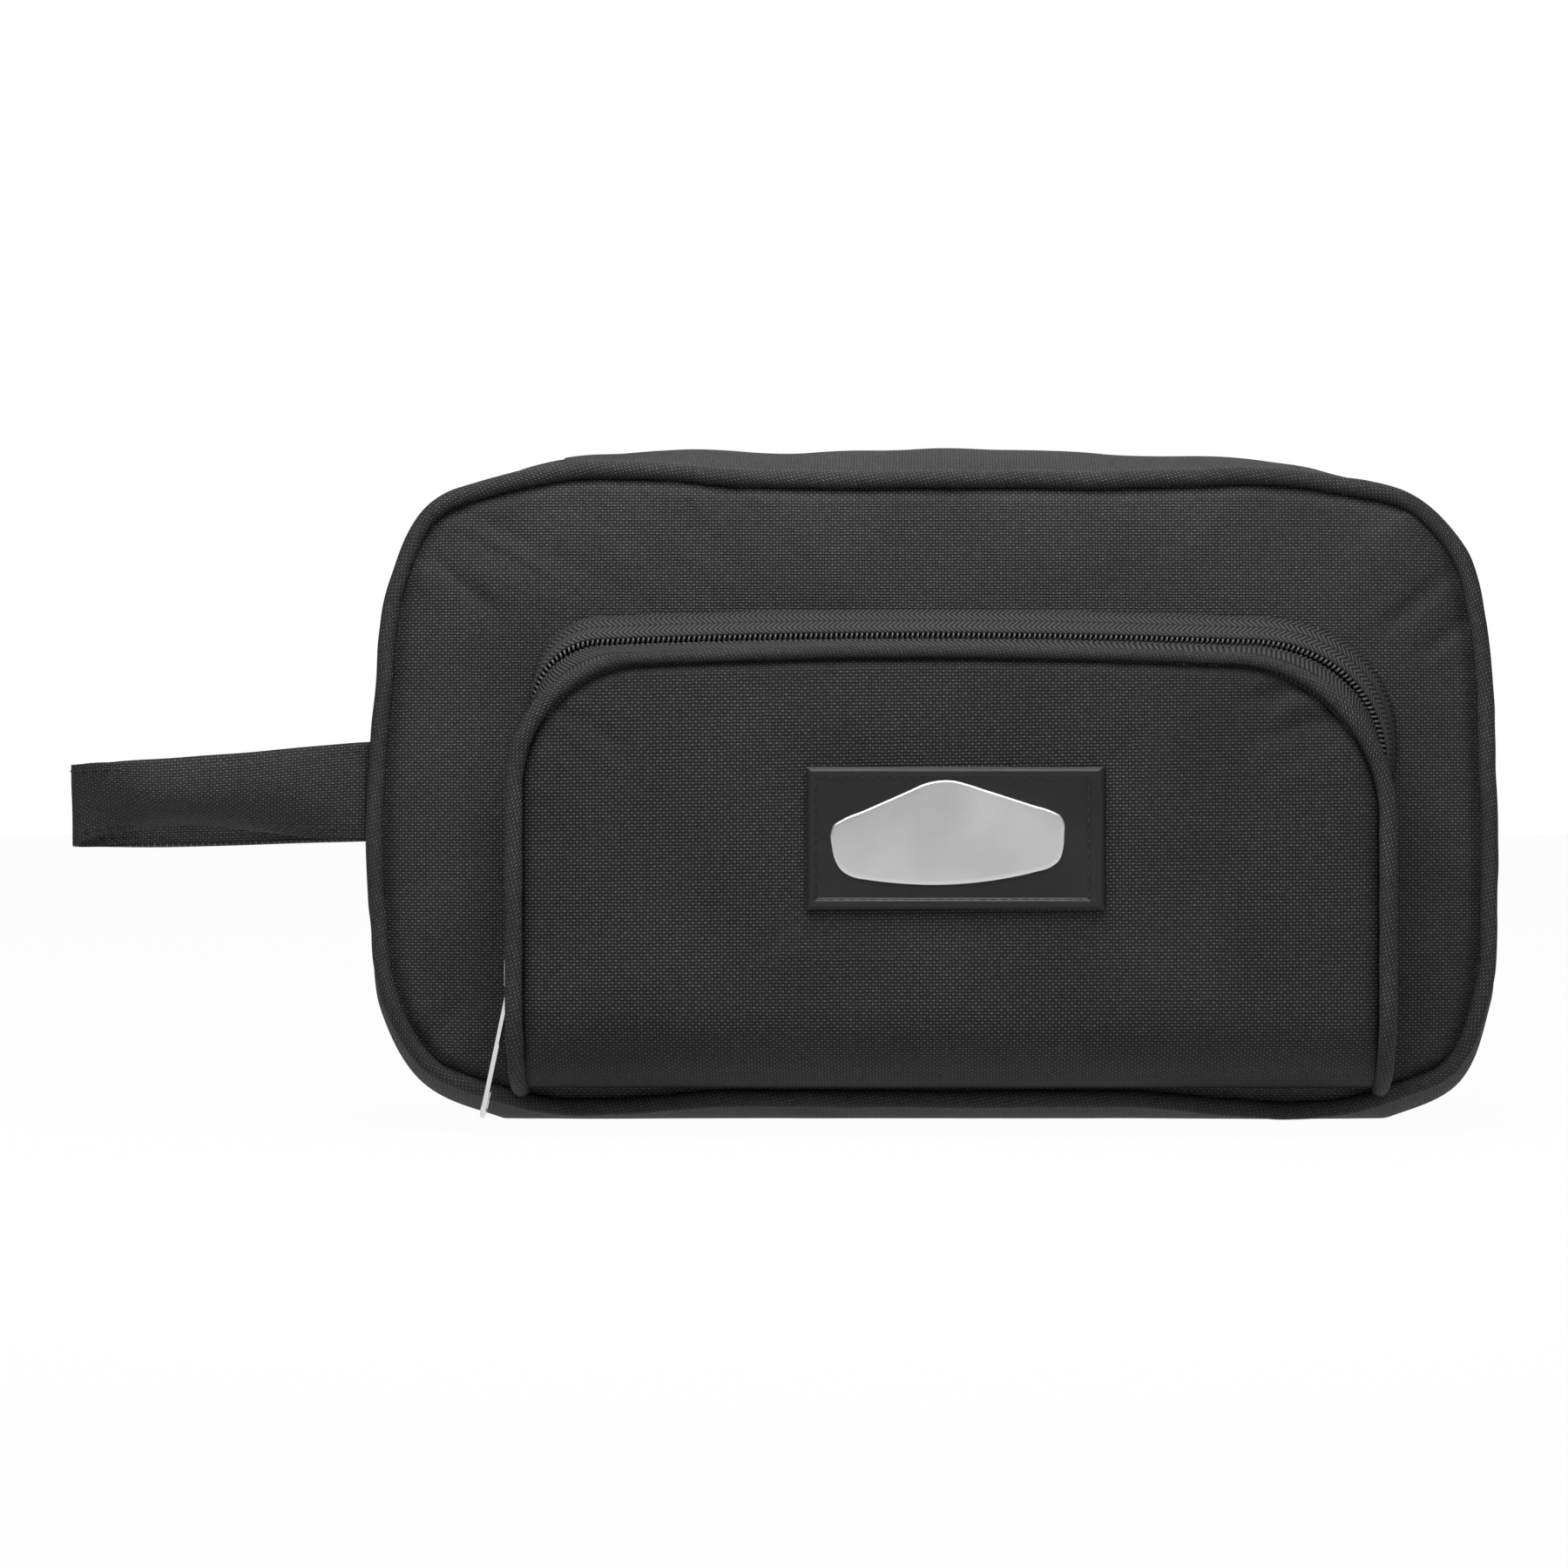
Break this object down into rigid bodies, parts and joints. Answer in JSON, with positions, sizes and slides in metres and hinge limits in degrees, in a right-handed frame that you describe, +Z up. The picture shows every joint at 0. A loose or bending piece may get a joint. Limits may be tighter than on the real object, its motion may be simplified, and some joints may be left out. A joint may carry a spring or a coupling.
{
  "type": "toiletry bag",
  "caption": "Soft box-shaped wash bag with a zipped top mouth, a zipped front pocket that folds down, a wrist loop at one side and a badge with a bare metal plate.",
  "frame": {"origin": "on the surface the bag stands on, under the middle of its body", "axes": "+X across the front towards the parked main slider, away from the wrist loop; +Y from the front panel to the back; +Z up"},
  "size_m": [0.331, 0.1282, 0.1603],
  "materials": {
    "body_cloth": "coarse black polyester weave",
    "pocket_cloth": "coarse black polyester weave",
    "facing_cloth": "folded black polyester weave with one row of stitches",
    "piping_cloth": "black polyester cut on the bias",
    "piping_cord": "soft white cord",
    "binding_tape": "thin woven tape",
    "zip_tape": "herringbone zip tape",
    "zip_coil": "black coil teeth with a soft gloss",
    "slider_metal": "nickel plated",
    "tab_metal": "polished nickel plate",
    "badge_leather": "black coated sheet with a soft sheen",
    "badge_metal": "satin with a bright bevel",
    "webbing": "folded black polyester strap with edge stitches"
  },
  "bodies": {
    "shell": {"front_panel": "body_cloth", "back_panel": "body_cloth", "gusset": "body_cloth", "front_piping_cover": "piping_cloth", "back_piping_cover": "piping_cloth", "front_piping_cord": "piping_cord", "back_piping_cord": "piping_cord", "front_seam_binding": "binding_tape", "back_seam_binding": "binding_tape", "left_zip_end_bed": "body_cloth", "right_zip_end_bed": "body_cloth", "left_zip_end_chain": "zip_coil", "right_zip_end_chain": "zip_coil", "pocket_facing": "facing_cloth", "pocket_inner_tape": "zip_tape", "pocket_inner_coil": "zip_coil", "pocket_zip_foot_tape": "zip_tape", "pocket_zip_foot_coil": "zip_coil", "wrist_loop_root": "webbing"},
    "front_lip": {"front_lip": "body_cloth", "front_lip_tape": "zip_tape", "front_lip_coil": "zip_coil"},
    "rear_lip": {"rear_lip": "body_cloth", "rear_lip_tape": "zip_tape", "rear_lip_coil": "zip_coil"},
    "main_slider": {"main_slider": "slider_metal"},
    "main_pull_tab": {"main_pull_tab": "tab_metal"},
    "pocket_flap": {"pocket_panel": "pocket_cloth", "pocket_piping_cover": "piping_cloth", "pocket_piping_cord": "piping_cord", "pocket_outer_tape": "zip_tape", "pocket_outer_coil": "zip_coil", "badge_patch": "badge_leather", "badge_edging": "badge_leather", "badge_plate": "badge_metal"},
    "pocket_slider": {"pocket_slider": "slider_metal"},
    "pocket_pull_tab": {"pocket_pull_tab": "tab_metal"},
    "wrist_loop": {"wrist_loop": "webbing"}
  },
  "joints": [
    {"name": "front_lip_lift", "type": "hinge", "parent": "shell", "child": "front_lip", "pos_m": [0, -0.0448, 0.14874], "axis": [1, 0, 0], "range_deg": [0, 75]},
    {"name": "rear_lip_lift", "type": "hinge", "parent": "shell", "child": "rear_lip", "pos_m": [0, 0.0448, 0.14874], "axis": [-1, 0, 0], "range_deg": [0, 75]},
    {"name": "main_zip_run", "type": "hinge", "parent": "shell", "child": "main_slider", "pos_m": [0, 0, -0.2629], "axis": [0, -1, 0], "range_deg": [0, 28.5]},
    {"name": "main_tab_turn", "type": "hinge", "parent": "main_slider", "child": "main_pull_tab", "pos_m": [0.11212, 0, 0.14627], "axis": [0, 1, 0], "range_deg": [0, 150]},
    {"name": "pocket_fold", "type": "hinge", "parent": "shell", "child": "pocket_flap", "pos_m": [0, -0.0526, 0.0108], "axis": [1, 0, 0], "range_deg": [0, 60]},
    {"name": "pocket_zip_run", "type": "slide", "parent": "shell", "child": "pocket_slider", "axis": [0, 0, 1], "range_m": [0, 0.034]},
    {"name": "pocket_tab_turn", "type": "hinge", "parent": "pocket_slider", "child": "pocket_pull_tab", "pos_m": [-0.09435, -0.0628, 0.0375], "axis": [0, 1, 0], "range_deg": [0, 150]},
    {"name": "wrist_loop_swing", "type": "hinge", "parent": "shell", "child": "wrist_loop", "pos_m": [-0.1312, -0.0462, 0.07775], "axis": [0, 0, 1], "range_deg": [-60, 60]}
  ]
}
